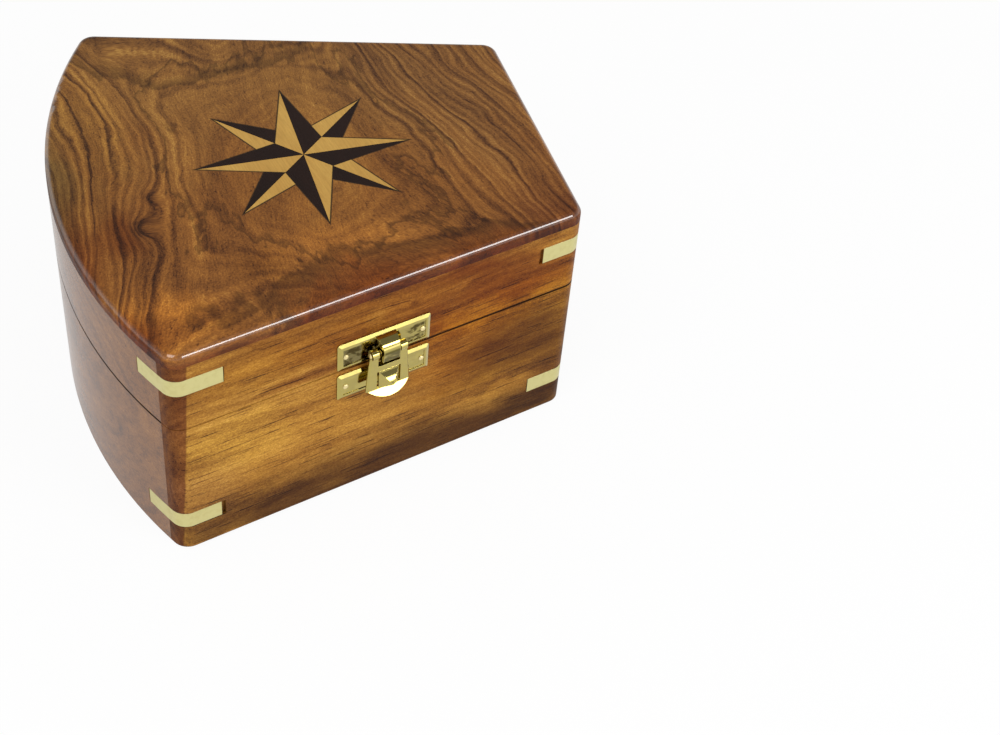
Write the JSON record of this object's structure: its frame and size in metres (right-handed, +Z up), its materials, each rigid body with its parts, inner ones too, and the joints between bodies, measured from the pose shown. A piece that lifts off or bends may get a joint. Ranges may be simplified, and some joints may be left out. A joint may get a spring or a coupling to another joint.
{
  "type": "sextant box",
  "caption": "Keystone-shaped hardwood case with a bowed wide end, hinged lid, brass corner straps, star inlay and a swing-hasp latch.",
  "frame": {"origin": "on the table under the middle of the case's footprint", "axes": "+Z up; +X from the bowed wide end towards the straight narrow end; the latch wall faces -Y"},
  "size_m": [0.16, 0.1644, 0.084],
  "materials": {
    "rosewood": "gloss lacquer",
    "light_inlay": "gloss lacquer",
    "dark_inlay": "gloss lacquer",
    "strap_brass": "satin",
    "latch_brass": "mirror polish",
    "hinge_brass": "satin",
    "felt": "felt"
  },
  "bodies": {
    "base": {"base_floor_board": "rosewood", "base_front_wall": "rosewood", "base_back_wall": "rosewood", "base_wide_end_wall": "rosewood", "base_narrow_end_wall": "rosewood", "base_strap_front_wide": "strap_brass", "base_strap_front_narrow": "strap_brass", "base_strap_back_wide": "strap_brass", "base_strap_back_narrow": "strap_brass", "floor_lining": "felt", "latch_lower_plate": "latch_brass", "latch_lower_plate_pins": "latch_brass", "hinge_base_leaf_wide_side": "hinge_brass", "hinge_base_leaf_narrow_side": "hinge_brass", "hinge_pin_wide_side": "hinge_brass", "hinge_pin_narrow_side": "hinge_brass"},
    "lid": {"lid_top_board": "rosewood", "lid_front_wall": "rosewood", "lid_back_wall": "rosewood", "lid_wide_end_wall": "rosewood", "lid_narrow_end_wall": "rosewood", "lid_strap_front_wide": "strap_brass", "lid_strap_front_narrow": "strap_brass", "lid_strap_back_wide": "strap_brass", "lid_strap_back_narrow": "strap_brass", "lid_lining": "felt", "star_light_inlay": "light_inlay", "star_dark_inlay": "dark_inlay", "latch_upper_plate": "latch_brass", "latch_upper_plate_pins": "latch_brass", "latch_hinge_pin": "latch_brass", "hinge_lid_leaf_wide_side": "hinge_brass", "hinge_lid_leaf_narrow_side": "hinge_brass"},
    "hasp": {"latch_hasp": "latch_brass"}
  },
  "joints": [
    {"name": "lid_hinge", "type": "hinge", "parent": "base", "child": "lid", "pos_m": [0.0109, 0.06355, 0.054], "axis": [-0.9675, 0.2529, 0], "range_deg": [0, 98]},
    {"name": "hasp_swing", "type": "hinge", "parent": "lid", "child": "hasp", "pos_m": [0.01134, -0.06803, 0.0589], "axis": [-0.9675, -0.2529, 0], "range_deg": [0, 160]}
  ]
}
